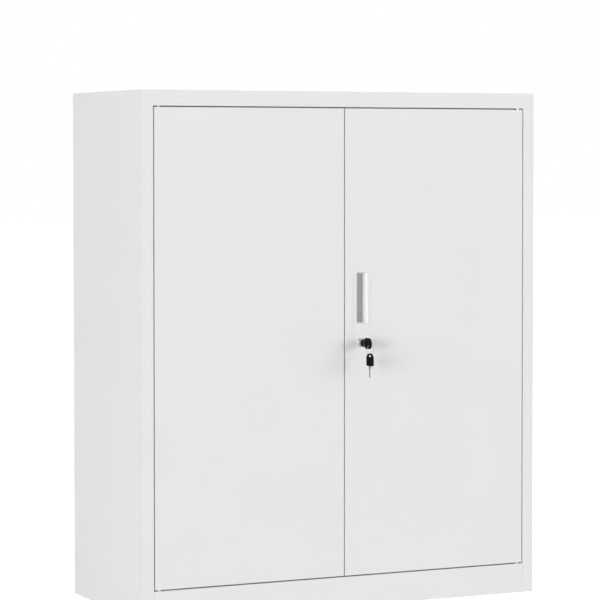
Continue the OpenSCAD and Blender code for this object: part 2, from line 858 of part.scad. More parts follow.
// Outline of the pocket between two depths; half is its half width at the front of the plate
module pocket_outline(half, y0, y1) {
    slope = pocket_lean / pocket_depth;
    half0 = half - (y0 + handle_proud) * slope;
    half1 = half - (y1 + handle_proud) * slope;
    polygon([[-half0, y0], [half0, y0], [half1, y1], [-half1, y1]]);
}

// Space of the finger pocket between two depths, widened by wall
module leaning_pocket(wall, y0, y1) {
    intersection() {
        translate([0, 0, -handle_h / 2]) linear_extrude(height = handle_h)
            pocket_outline(pocket_w / 2 + wall, y0, y1);
        translate([-handle_w / 2, 0, 0]) rotate([90, 0, 90]) linear_extrude(height = handle_w)
            mirror([1, -1]) pocket_outline(pocket_h / 2 + wall, y0, y1);
    }
}

// Nylon guides for the rods in the top and bottom folds of the right door
module rod_guides() {
    color(nylon_white) in_cabinet()
        for (end = [[lock_x + rod_off, door_z1, 0], [lock_x - rod_off, door_z0, 1]])
            translate([end[0], rod_y, end[1]]) mirror([0, 0, end[2]]) difference() {
                union() {
                    translate([0, 0, -guide_h]) cylinder(h = guide_h, r = guide_r);
                    translate([0, 0, -guide_h]) cylinder(h = guide_h - sheet, r = guide_r + guide_collar);
                }
                translate([0, 0, -guide_h - over]) cylinder(h = guide_h + 2 * over, r = rod_r + slide_fit);
            }
}

// Nylon rims of the rod holes in the cap and in the base
module rod_sockets() {
    socket_h = sheet + socket_collar;
    color(nylon_white) in_cabinet()
        for (end = [[lock_x + rod_off, cap_z, 0], [lock_x - rod_off, plinth_h, 1]])
            translate([end[0], rod_y, end[1]]) mirror([0, 0, end[2]]) difference() {
                union() {
                    cylinder(h = socket_h, r = socket_outer_r - run_fit);
                    translate([0, 0, sheet]) cylinder(h = socket_collar, r = socket_outer_r + over);
                }
                translate([0, 0, -over]) cylinder(h = socket_h + 2 * over, r = socket_r);
            }
}

// Lock

// Bright collar, flange and threaded barrel of the lock
module lock_housing() {
    barrel_end = cam_y0 - seat_gap;
    color(bright_steel) in_cabinet() translate([lock_x, 0, lock_z]) rotate([-90, 0, 0]) difference() {
        rotate_extrude() polygon([
            [0, -lock_collar_reach], [lock_collar_r - lock_edge, -lock_collar_reach],
            [lock_collar_r, -lock_collar_reach + lock_edge], [lock_collar_r, -lock_flange_t],
            [lock_flange_r - lock_edge, -lock_flange_t], [lock_flange_r, -lock_flange_t + lock_edge],
            [lock_flange_r, 0], [barrel_r, 0], [barrel_r, barrel_end], [0, barrel_end]
        ]);
        translate([0, 0, -lock_collar_reach - over])
            cylinder(h = cam_y0 + lock_collar_reach + 2 * over, r = plug_r + run_fit);
    }
}

// Thin nut that clamps the lock behind the door sheet
module lock_nut() {
    nut_r = (barrel_r + lock_nut_wall) / cos(30);
    color(dull_zinc) in_cabinet() translate([lock_x, sheet, lock_z]) rotate([-90, 0, 0]) difference() {
        cylinder(h = lock_nut_t, r = nut_r, $fn = 6);
        translate([0, 0, -over]) cylinder(h = lock_nut_t + 2 * over, r = barrel_r + run_fit);
    }
}

// Plug with its keyway and the square stub that turns the cam
module lock_plug() {
    key_w = blade_t + 2 * keyway_gap;
    key_h = blade_w + 2 * keyway_gap;
    color(plug_black) in_cabinet() translate([lock_x, 0, lock_z]) difference() {
        union() {
            rod_along_y(0, 0, plug_front, cam_y0, plug_r);
            block([-stub / 2, cam_y0 - small, -stub / 2], [stub / 2, cam_y1, stub / 2]);
        }
        block([-key_w / 2, plug_front - over, -key_h / 2],
              [key_w / 2, blade_tip_y + 2 * keyway_gap, key_h / 2]);
        rod_along_y(0, 0, blade_tip_y + cam_screw_gap, cam_y1 + over, cam_screw_r);
    }
}

// Double-armed cam, turned to its unlocked position
module lock_cam() {
    square_half = stub / 2 + run_fit;
    color(dull_zinc) in_cabinet() translate([lock_x, cam_y0, lock_z]) difference() {
        rotate([0, cam_swing / 2, 0]) difference() {
            union() {
                block([-cam_r, 0, -cam_arm_w / 2], [cam_r, cam_t, cam_arm_w / 2]);
                rod_along_y(0, 0, 0, cam_t, stub);
                for (x = [-cam_r, cam_r]) rod_along_y(x, 0, 0, cam_t, cam_arm_w / 2);
            }
            for (x = [-cam_r, cam_r]) rod_along_y(x, 0, -over, cam_t + over, cam_pin_r);
        }
        block([-square_half, -over, -square_half], [square_half, cam_t + over, square_half]);
    }
}

// Pins riveted in the cam that work in the slots of the rods
module cam_pins() {
    color(bright_steel) in_cabinet() translate([lock_x, 0, lock_z]) rotate([0, cam_swing / 2, 0])
        for (x = [-cam_r, cam_r]) rod_along_y(x, 0, cam_y0, flat_y1 + cam_pin_end, cam_pin_r);
}

// Slotted screw that holds the cam on the plug
module cam_screw() {
    screw_tip_y = blade_tip_y + cam_screw_gap + seat_gap;
    head_y = cam_y1 + cam_head_h;
    cut_half = cam_head_cut / 2;
    color(bright_steel) in_cabinet() translate([lock_x, 0, lock_z]) difference() {
        union() {
            rod_along_y(0, 0, screw_tip_y, cam_y1 + small, cam_screw_r - tight_fit);
            rod_along_y(0, 0, cam_y1, head_y, cam_head_r);
        }
        block([-cut_half, head_y - cam_head_cut, -cam_head_r], [cut_half, head_y + over, cam_head_r]);
    }
}

// Rod with a flattened and slotted inner end, as seen for the upper rod from the lock axis.
// reach is the distance from the lock axis to the tip of the rod.
module lock_rod(reach) {
    slot_z = -cam_r * sin(cam_swing / 2);
    slot_r = cam_pin_r + slot_play;
    slot_x0 = cam_r * cos(cam_swing / 2) - slot_end_gap;
    slot_x1 = cam_r + slot_end_gap;
    plate_x0 = slot_x0 - cam_pin_r - slot_wall;
    plate_h = slot_r + slot_wall;
    difference() {
        union() {
            block([plate_x0, flat_y0, slot_z - plate_h], [rod_off + rod_r, flat_y1, slot_z + plate_h]);
            block([rod_off - rod_r, flat_y0, slot_z - plate_h], [rod_off + rod_r, flat_y1, flat_run + small]);
            rod_along_z(rod_off, rod_y, flat_run, reach - rod_tip, rod_r);
            translate([rod_off, rod_y, reach - rod_tip]) cylinder(h = rod_tip, r1 = rod_r, r2 = rod_tip_r);
        }
        for (x = [slot_x0, slot_x1]) rod_along_y(x, slot_z, flat_y0 - over, flat_y1 + over, slot_r);
        block([slot_x0, flat_y0 - over, slot_z - slot_r], [slot_x1, flat_y1 + over, slot_z + slot_r]);
    }
}

module upper_lock_rod() {
    color(dull_zinc) in_cabinet() translate([lock_x, 0, lock_z]) lock_rod(rod_tip_z - lock_z);
}

module lower_lock_rod() {
    color(dull_zinc) in_cabinet() translate([lock_x, 0, lock_z]) rotate([0, 180, 0])
        lock_rod(lock_z - rod_foot_z);
}

// Keys, drawn flat with the middle of the slot at the origin and the blade along +x

// Blade outline: tang inside the grip, tapered neck, and blade with four shallow cuts on each edge
module blade_outline() {
    half = blade_w / 2;
    end = slot_reach + blade_l;
    nose = half - blade_point;
    neck_end = slot_reach + neck_l - neck_gap;
    difference() {
        union() {
            translate([slot_reach - tang_l, -half]) square([tang_l + neck_l, blade_w]);
            polygon([
                [slot_reach, -neck_w / 2], [neck_end, -neck_end_w / 2],
                [neck_end, neck_end_w / 2], [slot_reach, neck_w / 2]
            ]);
            polygon([
                [slot_reach, -half], [end - blade_point, -half], [end, -nose],
                [end, nose], [end - blade_point, half], [slot_reach, half]
            ]);
        }
        for (i = [0 : 3], side = [-1, 1])
            translate([end - first_cut - i * cut_pitch, side * half])
                polygon([
                    [-cut_w / 2, side * cut_deep], [cut_w / 2, side * cut_deep],
                    [cut_w / 4, -side * cut_deep], [-cut_w / 4, -side * cut_deep]
                ]);
    }
}

// Grip outline: half round at the ring end, small round corners at the blade end
module bow_outline() {
    half = bow_w / 2;
    mid = half - bow_slot_in;
    translate([mid, 0]) circle(r = half);
    translate([mid, -half]) square([slot_reach - mid - bow_corner, bow_w]);
    translate([mid, -half + bow_corner]) square([slot_reach - mid, bow_w - 2 * bow_corner]);
    for (side = [-1, 1])
        translate([slot_reach - bow_corner, side * (half - bow_corner)]) circle(r = bow_corner);
}

// Slot across the grip for the ring, with round ends
module bow_slot_outline() {
    end = (bow_slot_w - bow_slot_h) / 2;
    square([bow_slot_h, 2 * end], center = true);
    for (side = [-1, 1]) translate([0, side * end]) circle(r = bow_slot_h / 2);
}

module flat_blade() {
    translate([0, 0, -blade_t / 2]) linear_extrude(height = blade_t) blade_outline();
}

module flat_bow() {
    difference() {
        translate([0, 0, -bow_t / 2]) linear_extrude(height = bow_t) bow_outline();
        translate([0, 0, -bow_t]) linear_extrude(height = 2 * bow_t) bow_slot_outline();
        block([slot_reach - tang_l, -blade_w / 2, -blade_t / 2],
              [slot_reach + over, blade_w / 2, blade_t / 2]);
    }
}

module place_key() {
    in_cabinet() translate([lock_x, key_slot_y, lock_z]) rotate([90, 0, 90]) children();
}

module place_spare_key() {
    in_cabinet() translate([lock_x, key_slot_y, spare_slot_z]) rotate([0, 90, spare_turn]) children();
}

module key_blade() {
    color(bright_steel) place_key() flat_blade();
}

module key_bow() {
    color(black_plastic) place_key() flat_bow();
}

module spare_key_blade() {
    color(bright_steel) place_spare_key() flat_blade();
}

module spare_key_bow() {
    color(black_plastic) place_spare_key() flat_bow();
}

module key_ring() {
    color(bright_steel) in_cabinet() translate([lock_x, key_slot_y, ring_mid_z]) rotate([90, 0, ring_turn])
        rotate_extrude() translate([ring_r, 0]) circle(r = wire_r);
}

// Door stops, catches and fasteners

// Rubber buffers on the stop lips, just behind the closed doors
module door_buffers() {
    color(rubber_grey) in_cabinet() both_sides()
        for (x = [buffer_inner, buffer_outer], z = [cap_z - stop_h / 2, plinth_h + stop_h / 2])
            rod_along_y(x, z, door_depth + buffer_seat, lip_y, buffer_r);
}

// Catch boxes behind the top lip, hollow for the magnet and its pole plates
module catch_housings() {
    screw_end_y = lip_y + sheet + catch_screw_l + small;
    color(nylon_white) in_cabinet() both_sides() difference() {
        block([catch_x - catch_w / 2, lip_y + sheet, catch_mid_z - catch_h / 2],
              [catch_x + catch_w / 2, catch_back + catch_wall, catch_mid_z + catch_h / 2]);
        block([catch_x - catch_plate_w / 2, lip_y - over, catch_mid_z - catch_slot_h / 2],
              [catch_x + catch_plate_w / 2, catch_back, catch_mid_z + catch_slot_h / 2]);
        for (x = [catch_x - catch_screw_in, catch_x + catch_screw_in])
            rod_along_y(x, catch_mid_z, lip_y, screw_end_y, catch_screw_r);
    }
}

// Steel pole plates that meet the door lip
module catch_plates() {
    front = door_depth + buffer_seat;
    color(bright_steel) in_cabinet() both_sides()
        for (side = [-1, 1]) {
            mid = catch_mid_z + side * (catch_plate_gap + catch_plate_t) / 2;
            block([catch_x - catch_plate_w / 2, front, mid - catch_plate_t / 2],
                  [catch_x + catch_plate_w / 2, catch_back, mid + catch_plate_t / 2]);
        }
}

// Magnets between the pole plates, set back a little from their front edges
module catch_magnets() {
    front = door_depth + buffer_seat + magnet_set;
    color(rubber_grey) in_cabinet() both_sides()
        block([catch_x - catch_plate_w / 2, front, catch_mid_z - catch_plate_gap / 2],
              [catch_x + catch_plate_w / 2, catch_back, catch_mid_z + catch_plate_gap / 2]);
}

// Small screws through the top lip into the catch boxes
module catch_screws() {
    end_y = lip_y + sheet + catch_screw_l;
    color(bright_steel) in_cabinet() both_sides()
        for (x = [catch_x - catch_screw_in, catch_x + catch_screw_in]) {
            rod_along_y(x, catch_mid_z, lip_y - small, end_y, catch_screw_r - tight_fit);
            rod_along_y(x, catch_mid_z, lip_y - catch_head_h, lip_y, catch_head_r);
        }
}

module cap_screws() {
    color(bright_steel) in_cabinet() cap_screw_places() screw(screw_grip);
}

module cap_nuts() {
    color(bright_steel) in_cabinet() cap_screw_places() translate([0, 0, -2 * sheet - nut_h]) nut();
}

module deck_screws() {
    color(bright_steel) in_cabinet() deck_screw_places() screw(screw_grip - sheet + bracket_t);
}

module deck_nuts() {
    color(bright_steel) in_cabinet() deck_screw_places() translate([0, 0, -sheet - bracket_t - nut_h]) nut();
}

module back_screws() {
    color(bright_steel) in_cabinet() {
        back_screw_places() screw(screw_grip);
        deck_back_screw_places() screw(screw_grip);
        joint_screw_places() screw(screw_grip);
    }
}

module back_nuts() {
    color(bright_steel) in_cabinet() {
        back_screw_places() translate([0, 0, -2 * sheet - nut_h]) nut();
        deck_back_screw_places() translate([0, 0, -2 * sheet - nut_h]) nut();
        joint_screw_places() translate([0, 0, -2 * sheet - nut_h]) nut();
    }
}

top_cap();
left_side_panel();
right_side_panel();
left_back_panel();
right_back_panel();
base_deck();
deck_brackets();
front_left_upright();
front_right_upright();
rear_left_upright();
rear_right_upright();
upper_shelf_clips();
lower_shelf_clips();
hinge_bushes();
rod_sockets();
catch_housings();
catch_plates();
catch_magnets();
catch_screws();
door_buffers();
cap_screws();
cap_nuts();
deck_screws();
deck_nuts();
back_screws();
back_nuts();
left_door_panel();
left_door_stiffener();
left_hinge_plates();
left_upper_hinge_pin();
left_lower_hinge_pin();
right_door_panel();
right_door_stiffener();
right_hinge_plates();
right_upper_hinge_pin();
right_lower_hinge_pin();
handle_cup();
lock_housing();
lock_nut();
rod_guides();
lock_plug();
lock_cam();
cam_pins();
cam_screw();
upper_lock_rod();
lower_lock_rod();
key_blade();
key_bow();
key_ring();
spare_key_blade();
spare_key_bow();
upper_shelf();
lower_shelf();
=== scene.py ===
import json
import math

import bmesh
import bpy
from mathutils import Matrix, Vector


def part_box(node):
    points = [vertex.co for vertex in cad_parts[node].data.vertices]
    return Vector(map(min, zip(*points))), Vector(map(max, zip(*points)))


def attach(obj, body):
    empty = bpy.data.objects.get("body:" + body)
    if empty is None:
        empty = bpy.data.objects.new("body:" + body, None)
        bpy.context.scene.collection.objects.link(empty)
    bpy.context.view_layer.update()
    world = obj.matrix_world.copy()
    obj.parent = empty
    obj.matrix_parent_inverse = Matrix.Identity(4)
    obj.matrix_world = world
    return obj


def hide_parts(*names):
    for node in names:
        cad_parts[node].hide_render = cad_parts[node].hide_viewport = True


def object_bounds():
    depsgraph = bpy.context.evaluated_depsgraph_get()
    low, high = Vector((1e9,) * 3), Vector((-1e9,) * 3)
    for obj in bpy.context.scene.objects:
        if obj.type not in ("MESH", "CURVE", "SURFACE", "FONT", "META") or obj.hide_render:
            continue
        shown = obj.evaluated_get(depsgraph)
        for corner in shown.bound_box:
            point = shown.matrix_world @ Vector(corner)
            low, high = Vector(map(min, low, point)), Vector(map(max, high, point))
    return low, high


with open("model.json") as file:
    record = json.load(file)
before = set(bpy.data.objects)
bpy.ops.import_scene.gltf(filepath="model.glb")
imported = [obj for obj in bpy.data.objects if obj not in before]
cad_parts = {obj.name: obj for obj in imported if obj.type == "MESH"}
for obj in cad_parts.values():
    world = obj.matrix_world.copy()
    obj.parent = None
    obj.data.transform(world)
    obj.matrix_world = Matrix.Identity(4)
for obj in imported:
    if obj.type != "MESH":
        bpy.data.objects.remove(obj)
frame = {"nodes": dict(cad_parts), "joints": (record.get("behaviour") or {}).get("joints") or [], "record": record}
cad_low, cad_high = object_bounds()
door_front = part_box("left_door_panel")[0].y

# Camera: its place in metres from the foot of the door's front, how far it turns to the right and how far it
# looks down, and its lens and shift
CAMERA_FROM_DOOR = Vector((-2.3452, -4.8288, 0.9427))
CAMERA_TURN = math.radians(25.435)
CAMERA_DIP = math.radians(1.783)
CAMERA_LENS = 155.66
CAMERA_SHIFT_X = -0.0391
CAMERA_SHIFT_Y = -0.11
CAMERA_SENSOR = 36.0

# Lamps: azimuth from the door's normal, distance and height in metres, size in metres, watts
LEFT_SOFTBOX = {"azimuth": -59, "distance": 8.0, "height": 0.7, "size": (4.2, 3.8), "power": 453}
RIGHT_SOFTBOX = {"azimuth": 55, "distance": 10.0, "height": 2.1, "size": (5.2, 4.4), "power": 462}
BACK_SOFTBOX = {"azimuth": 180, "distance": 8.0, "height": 1.4, "size": (1.6, 2.4), "power": 100}
TOP_SOFTBOX = {"height": 5.0, "size": (3.2, 3.2), "power": 60}
LAMP_AIM = Vector((0.0, 0.0, 0.5))
AMBIENT = 0.36
BACKGROUND = 1.0

# Floor: half its width, how far under the cabinet it lies, and how pale it is
FLOOR_HALF = 30.0
FLOOR_DROP = 0.0002
FLOOR_COLOUR = (0.8, 0.8, 0.8)
FLOOR_PALE = (0.9, 0.9, 0.9)
FLOOR_GLOW = 0.72

# Colours, linear
POWDER_WHITE = (0.80, 0.80, 0.80)
HANDLE_WHITE = (0.80, 0.80, 0.80)
# Painted light on the handle pocket's walls and painted shade on its floor, not colours of the plastic itself
POCKET_PAINTED_LIGHT = (0.96, 0.96, 0.96)
POCKET_PAINTED_SHADE = (0.53, 0.53, 0.53)
NYLON_WHITE = (0.78, 0.77, 0.72)
BLACK_PLASTIC = (0.003, 0.003, 0.0032)
PLUG_BLACK = (0.014, 0.014, 0.0145)
RUBBER_GREY = (0.075, 0.075, 0.078)
MAGNET_GREY = (0.055, 0.052, 0.05)
CHROME = (0.60, 0.60, 0.61)
# Painted shade: a darker copy of the chrome for the front rim of the lock's collar
COLLAR_PAINTED_SHADE = (0.16, 0.16, 0.163)
BRIGHT_STEEL = (0.66, 0.67, 0.69)
ZINC = (0.52, 0.54, 0.57)
KEY_STEEL = (0.38, 0.38, 0.385)

# Handle's pocket: where the painted light on its walls starts and is full, in metres behind the plate's face,
# and where the painted shade on its floor starts and is full, in metres in front of the cup's back
PAINTED_LIGHT_START = 0.0008
PAINTED_LIGHT_FULL = 0.0018
PAINTED_SHADE_START = 0.0022
PAINTED_SHADE_FULL = 0.0017

# Lock: how far behind its front the painted shade on the collar's rim is full and ends, in metres
COLLAR_SHADE_FULL = 0.0008
COLLAR_SHADE_END = 0.0013

# Rounding of edges in metres: by material slot, and for the slots that aren't named
ROUNDING = {"powder_white": 0.00035, "handle_plastic": 0.0006, "black_plastic": 0.0006}
SMALL_ROUND = 0.00025
ROUND_SEGMENTS = 3
SHARP = math.radians(30)
FLAT = math.radians(1)

# Key ring: over how wide an angle its coils step past each other, where that lies, the share of the coil's
# radius that the wire fills, and how many points and sides its mesh has
COIL_STEP = math.radians(16)
COIL_START = math.radians(-30)
COIL_FILL = 0.98
COIL_POINTS = 151
COIL_SIDES = 12


# Shader helpers

class Finish:
    """A Principled material whose textures are laid out in metres, in the object's own frame."""

    def __init__(self, name, **values):
        self.material = bpy.data.materials.new(name)
        self.material.use_nodes = True
        self.tree = self.material.node_tree
        self.shader = self.tree.nodes["Principled BSDF"]
        self.place = self.node("ShaderNodeTexCoord").outputs["Object"]
        for socket, value in values.items():
            self.shader.inputs[socket.replace("_", " ")].default_value = value

    def node(self, kind, **settings):
        made = self.tree.nodes.new(kind)
        for name, value in settings.items():
            setattr(made, name, value)
        return made

    def join(self, source, target):
        self.tree.links.new(source, target)

    def stretched(self, factors):
        """The place scaled by factors along X, Y and Z, for grain that runs one way."""
        mapping = self.node("ShaderNodeMapping")
        mapping.inputs["Scale"].default_value = factors
        self.join(self.place, mapping.inputs["Vector"])
        return mapping.outputs["Vector"]

    def along(self, axis):
        """How far a point lies along the axis, in metres."""
        parts = self.node("ShaderNodeSeparateXYZ")
        self.join(self.place, parts.inputs["Vector"])
        return parts.outputs[axis]

    def noise(self, grain, detail=2.0, roughness=0.5, place=None):
        """Noise whose blotches are about grain metres across."""
        texture = self.node("ShaderNodeTexNoise")
        texture.inputs["Scale"].default_value = 1.0 / grain
        texture.inputs["Detail"].default_value = detail
        texture.inputs["Roughness"].default_value = roughness
        self.join(place or self.place, texture.inputs["Vector"])
        return texture.outputs["Fac"]

    def cells(self, grain, place=None):
        """Cells about grain metres across, each with its own value from 0 to 1."""
        texture = self.node("ShaderNodeTexVoronoi", feature="F1")
        texture.inputs["Scale"].default_value = 1.0 / grain
        self.join(place or self.place, texture.inputs["Vector"])
        parts = self.node("ShaderNodeSeparateColor")
        self.join(texture.outputs["Color"], parts.inputs["Color"])
        return parts.outputs["Red"]

    def spread(self, value, low, high, start=0.3, end=0.7):
        """value from start to end becomes low to high."""
        ranged = self.node("ShaderNodeMapRange")
        ranged.inputs["From Min"].default_value = start
        ranged.inputs["From Max"].default_value = end
        ranged.inputs["To Min"].default_value = low
        ranged.inputs["To Max"].default_value = high
        self.join(value, ranged.inputs["Value"])
        return ranged.outputs["Result"]

    def between(self, factor, first, second):
        """A colour between first and second, each a colour or a socket."""
        mix = self.node("ShaderNodeMix", data_type="RGBA")
        self.join(factor, mix.inputs["Factor"])
        for name, colour in (("A", first), ("B", second)):
            socket = next(s for s in mix.inputs if s.name == name and s.type == "RGBA")
            if isinstance(colour, tuple):
                socket.default_value = (*colour, 1.0)
            else:
                self.join(colour, socket)
        return next(s for s in mix.outputs if s.type == "RGBA")

    def varied(self, value, base, low, high):
        """base made darker and lighter by the factors low and high, as value goes up."""
        return self.between(self.spread(value, 0.0, 1.0), shade(base, low), shade(base, high))

    def colour(self, value):
        self.join(value, self.shader.inputs["Base Color"])

    def roughness(self, value):
        self.join(value, self.shader.inputs["Roughness"])

    def bump(self, *layers):
        """Each layer is a height from 0 to 1, its depth in metres and its strength."""
        last = None
        for height, depth, strength in layers:
            made = self.node("ShaderNodeBump")
            made.inputs["Distance"].default_value = depth
            made.inputs["Strength"].default_value = strength
            self.join(height, made.inputs["Height"])
            if last:
                self.join(last, made.inputs["Normal"])
            last = made.outputs["Normal"]
        self.join(last, self.shader.inputs["Normal"])


def shade(colour, factor):
    """colour made lighter or darker by factor."""
    return tuple(channel * factor for channel in colour)


# Materials

def powder_white():
    """Satin powder coat: fine orange peel, slight clouding, and tiny specks."""
    paint = Finish("powder_white", Specular_IOR_Level=0.3)
    tone = paint.varied(paint.noise(0.18, detail=3.0), POWDER_WHITE, 0.993, 1.007)
    specks = paint.noise(0.0009, detail=1.0)
    speckled = paint.spread(specks, 0.0, 0.10, 0.62, 0.72)
    paint.colour(paint.between(speckled, tone, shade(POWDER_WHITE, 0.8)))
    paint.roughness(paint.spread(paint.noise(0.004), 0.42, 0.50))
    peel = paint.noise(0.0016, detail=1.5)
    waves = paint.noise(0.22, detail=1.0)
    paint.bump((waves, 0.0005, 0.25), (peel, 0.00003, 0.6))
    return paint.material


def handle_plastic():
    """White moulded plastic with a fine grain. The pocket's walls carry painted light, and its floor carries
    painted shade.
    """
    plastic = Finish("handle_plastic", Specular_IOR_Level=0.35)
    plate = plastic.varied(plastic.noise(0.03), HANDLE_WHITE, 0.99, 1.008)
    place = plastic.along("Y")
    face, back = (corner.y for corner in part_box("handle_cup"))
    # Painted light: the pocket's walls are made brighter than the plate, and painted shade: its floor is made grey
    painted_light_mask = plastic.spread(place, 0.0, 1.0, face + PAINTED_LIGHT_START, face + PAINTED_LIGHT_FULL)
    painted_shade_mask = plastic.spread(place, 0.0, 1.0, back - PAINTED_SHADE_START, back - PAINTED_SHADE_FULL)
    plastic.colour(plastic.between(painted_shade_mask, plastic.between(painted_light_mask, plate, POCKET_PAINTED_LIGHT), POCKET_PAINTED_SHADE))
    plastic.roughness(plastic.spread(plastic.noise(0.002), 0.22, 0.32))
    plastic.bump((plastic.noise(0.0005, detail=3.0), 0.00002, 0.5))
    return plastic.material


def nylon():
    """Natural nylon, a little translucent and waxy."""
    plastic = Finish("nylon", Subsurface_Weight=0.15, Subsurface_Scale=0.002)
    plastic.colour(plastic.varied(plastic.noise(0.006), NYLON_WHITE, 0.96, 1.0))
    plastic.roughness(plastic.spread(plastic.noise(0.0015), 0.42, 0.55))
    plastic.bump((plastic.noise(0.0006), 0.00002, 0.4))
    return plastic.material


def black_plastic():
    """Black moulded plastic, rubbed a little shinier in places."""
    plastic = Finish("black_plastic", Specular_IOR_Level=0.04)
    plastic.colour(plastic.varied(plastic.noise(0.004, detail=3.0), BLACK_PLASTIC, 0.8, 1.5))
    plastic.roughness(plastic.spread(plastic.noise(0.006, detail=3.0), 0.24, 0.42))
    plastic.bump((plastic.noise(0.0004, detail=2.0), 0.00002, 0.5))
    return plastic.material


def plug_black():
    """Dark burnished lock plug, paler where keys have rubbed its face."""
    metal = Finish("plug_black", Specular_IOR_Level=0.35)
    metal.colour(metal.varied(metal.noise(0.0025, detail=3.0), PLUG_BLACK, 0.5, 2.6))
    metal.roughness(metal.spread(metal.noise(0.0015, detail=3.0), 0.30, 0.45))
    metal.bump((metal.noise(0.0005, detail=2.0), 0.00002, 0.5))
    return metal.material


def rubber():
    """Soft grey rubber with a dusty matt skin."""
    skin = Finish("rubber")
    skin.colour(skin.varied(skin.noise(0.002, detail=4.0), RUBBER_GREY, 0.8, 1.3))
    skin.roughness(skin.spread(skin.noise(0.001), 0.7, 0.9))
    skin.bump((skin.noise(0.0005, detail=3.0), 0.00004, 0.5))
    return skin.material


def magnet():
    """Pressed ferrite: dark, matt and speckled."""
    stone = Finish("magnet")
    stone.colour(stone.between(stone.cells(0.0004), shade(MAGNET_GREY, 0.7), shade(MAGNET_GREY, 1.5)))
    stone.roughness(stone.spread(stone.noise(0.0008), 0.5, 0.75))
    stone.bump((stone.noise(0.0003, detail=3.0), 0.00003, 0.6))
    return stone.material


def chrome():
    """Satin nickel-chrome plate with faint haze and hairlines, with painted shade on the rim of the lock's collar.
    """
    metal = Finish("chrome", Metallic=1.0)
    haze = metal.varied(metal.noise(0.003, detail=3.0), CHROME, 0.94, 1.0)
    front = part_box("lock_housing")[0].y
    # Painted shade: the front rim of the lock's collar is given the darker chrome
    collar = metal.spread(metal.along("Y"), 1.0, 0.0, front + COLLAR_SHADE_FULL, front + COLLAR_SHADE_END)
    metal.colour(metal.between(collar, haze, COLLAR_PAINTED_SHADE))
    metal.roughness(metal.spread(metal.noise(0.0012, detail=4.0), 0.28, 0.38))
    metal.bump((metal.noise(0.0006, detail=2.0, place=metal.stretched((1.0, 1.0, 8.0))), 0.000004, 0.3))
    return metal.material


def bright_steel():
    """Bright zinc-plated steel with a satin haze."""
    metal = Finish("bright_steel", Metallic=1.0)
    metal.colour(metal.varied(metal.noise(0.003, detail=3.0), BRIGHT_STEEL, 0.88, 1.05))
    metal.roughness(metal.spread(metal.noise(0.0015, detail=3.0), 0.22, 0.38))
    metal.bump((metal.noise(0.0005, detail=2.0), 0.00001, 0.4))
    return metal.material


def zinc():
    """Dull zinc-plated pressed steel with a small spangle."""
    metal = Finish("zinc", Metallic=1.0)
    spangle = metal.cells(0.004)
    metal.colour(metal.between(spangle, shade(ZINC, 0.88), shade(ZINC, 1.1)))
    metal.roughness(metal.spread(spangle, 0.36, 0.5, 0.0, 1.0))
    metal.bump((metal.noise(0.0009, detail=3.0), 0.00002, 0.4))
    return metal.material


def key_steel():
    """Nickel-plated key steel with fine marks along the blade from use."""
    metal = Finish("key_steel", Metallic=1.0)
    marks = metal.noise(0.0004, detail=3.0, place=metal.stretched((3.0, 0.3, 1.0)))
    metal.colour(metal.varied(marks, KEY_STEEL, 0.85, 1.1))
    metal.roughness(metal.spread(marks, 0.2, 0.34))
    metal.bump((marks, 0.00001, 0.4))
    return metal.material


def floor_finish():
    """Plain pale floor that reads as white to the camera and keeps a faint contact shadow."""
    finish = Finish("floor")
    tree = finish.tree
    tree.nodes.remove(finish.shader)
    tone = finish.varied(finish.noise(0.4, detail=2.0), FLOOR_PALE, 0.998, 1.0)
    seen = finish.node("ShaderNodeBsdfDiffuse")
    finish.join(tone, seen.inputs["Color"])
    glow = finish.node("ShaderNodeEmission")
    glow.inputs["Strength"].default_value = FLOOR_GLOW
    pale = finish.node("ShaderNodeAddShader")
    finish.join(seen.outputs[0], pale.inputs[0])
    finish.join(glow.outputs[0], pale.inputs[1])
    plain = finish.node("ShaderNodeBsdfDiffuse")
    plain.inputs["Color"].default_value = (*FLOOR_COLOUR, 1.0)
    choice = finish.node("ShaderNodeMixShader")
    finish.join(seen_directly(tree), choice.inputs["Fac"])
    finish.join(plain.outputs[0], choice.inputs[1])
    finish.join(pale.outputs[0], choice.inputs[2])
    finish.join(choice.outputs[0], tree.nodes["Material Output"].inputs["Surface"])
    return finish.material


def seen_directly(tree):
    """1 for rays from the camera, and for those mirrored or let through by the object."""
    path = tree.nodes.new("ShaderNodeLightPath")
    value = path.outputs["Is Camera Ray"]
    for name in ("Is Glossy Ray", "Is Transmission Ray"):
        larger = tree.nodes.new("ShaderNodeMath")
        larger.operation = "MAXIMUM"
        tree.links.new(value, larger.inputs[0])
        tree.links.new(path.outputs[name], larger.inputs[1])
        value = larger.outputs[0]
    return value


# Mesh helpers

def tube(name, points, radius, sides):
    """A closed-ended tube of round section along points."""
    mesh = bmesh.new()
    rings = []
    for i, point in enumerate(points):
        ahead = points[min(i + 1, len(points) - 1)] - points[max(i - 1, 0)]
        ahead.normalize()
        side = ahead.cross(Vector((0.0, 1.0, 0.0))).normalized()
        up = side.cross(ahead)
        ring = []
        for k in range(sides):
            angle = 2 * math.pi * k / sides
            ring.append(mesh.verts.new(point + radius * (math.cos(angle) * side + math.sin(angle) * up)))
        rings.append(ring)
    for first, second in zip(rings, rings[1:]):
        for k in range(sides):
            mesh.faces.new((first[k], first[(k + 1) % sides], second[(k + 1) % sides], second[k]))
    mesh.faces.new(rings[0])
    mesh.faces.new(list(reversed(rings[-1])))
    bmesh.ops.recalc_face_normals(mesh, faces=mesh.faces)
    return finished(name, mesh)


def finished(name, mesh):
    """The bmesh as an object of the scene, shaded smooth."""
    data = bpy.data.meshes.new(name)
    mesh.to_mesh(data)
    mesh.free()
    for face in data.polygons:
        face.use_smooth = True
    made = bpy.data.objects.new(name, data)
    bpy.context.scene.collection.objects.link(made)
    return made


def joint(name):
    """The frame's joint of that name."""
    return next(j for j in frame["joints"] if j["name"] == name)


# Pieces

